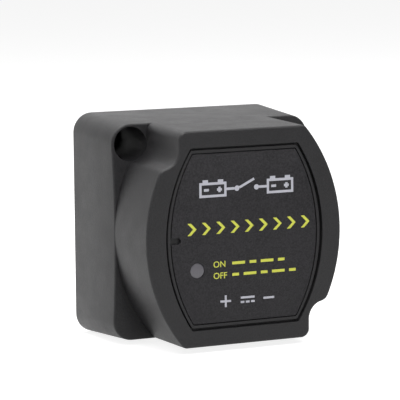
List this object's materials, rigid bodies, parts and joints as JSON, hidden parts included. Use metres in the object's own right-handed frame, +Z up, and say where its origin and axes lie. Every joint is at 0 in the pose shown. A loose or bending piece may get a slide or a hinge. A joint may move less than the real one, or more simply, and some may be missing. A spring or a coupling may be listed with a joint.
{
  "type": "battery isolator relay",
  "caption": "Square moulded battery isolator relay with bowed sides, two screw wells, an inset front panel with a status lamp and two terminal studs in the back.",
  "frame": {"origin": "middle of the back plane, halfway between the two mounting holes", "axes": "+X to the right, +Y back into the wall it is screwed to, +Z up; the front panel faces -Y"},
  "size_m": [0.068, 0.05, 0.068],
  "materials": {
    "case_plastic": "moulded, very fine grain",
    "panel_plastic": "fine even grain",
    "smoke_lens": "translucent grey",
    "brass_bright": "turned",
    "zinc_plate": "zinc plated",
    "soft_steel": "plain rolled",
    "copper": "bare copper",
    "enamelled_copper": "enamelled wire",
    "silver_contact": "silver alloy",
    "nylon": "natural nylon",
    "seal_rubber": "soft rubber",
    "board_green": "solder mask",
    "chip_black": "moulded epoxy",
    "can_sleeve": "shrink sleeve",
    "resistor_body": "lacquered",
    "led_red": "clear tinted resin"
  },
  "bodies": {
    "case": {"housing": "case_plastic", "face_plate": "panel_plastic", "status_lens": "smoke_lens", "terminal_base": "case_plastic", "base_seal": "seal_rubber", "base_screws": "zinc_plate", "terminal_stud_left": "brass_bright", "terminal_stud_right": "brass_bright", "terminal_washer_left": "zinc_plate", "terminal_washer_right": "zinc_plate", "spring_washer_left": "zinc_plate", "spring_washer_right": "zinc_plate", "terminal_nut_left": "zinc_plate", "terminal_nut_right": "zinc_plate", "fixed_contact_left": "silver_contact", "fixed_contact_right": "silver_contact", "sense_strip_left": "brass_bright", "sense_strip_right": "brass_bright", "earth_tab": "brass_bright", "circuit_board": "board_green", "control_chip": "chip_black", "smoothing_capacitor": "can_sleeve", "driver_transistor": "chip_black", "flyback_diode": "chip_black", "resistors": "resistor_body", "status_led": "led_red", "board_screws": "zinc_plate", "coil_bobbin": "nylon", "coil_winding": "enamelled_copper", "coil_pins": "zinc_plate", "yoke_frame": "soft_steel", "yoke_plate": "soft_steel", "fixed_core": "soft_steel", "return_spring": "zinc_plate"},
    "plunger_group": {"plunger": "soft_steel", "push_rod": "zinc_plate", "rod_clip": "zinc_plate", "contact_spring": "zinc_plate"},
    "bridge_group": {"contact_bridge": "copper", "bridge_contacts": "silver_contact"}
  },
  "joints": [
    {"name": "plunger_slide", "type": "slide", "parent": "case", "child": "plunger_group", "axis": [0, 1, 0], "range_m": [0, 0.0024], "stiffness_N_per_m": 900, "springref_m": -0.003, "deforming": ["return_spring", "contact_spring"]},
    {"name": "bridge_slide", "type": "slide", "parent": "case", "child": "bridge_group", "axis": [0, 1, 0], "range_m": [0, 0.00178]}
  ],
  "couplings": [
    {"joint": "bridge_slide", "follows": "plunger_slide", "ratio": 0.74}
  ]
}
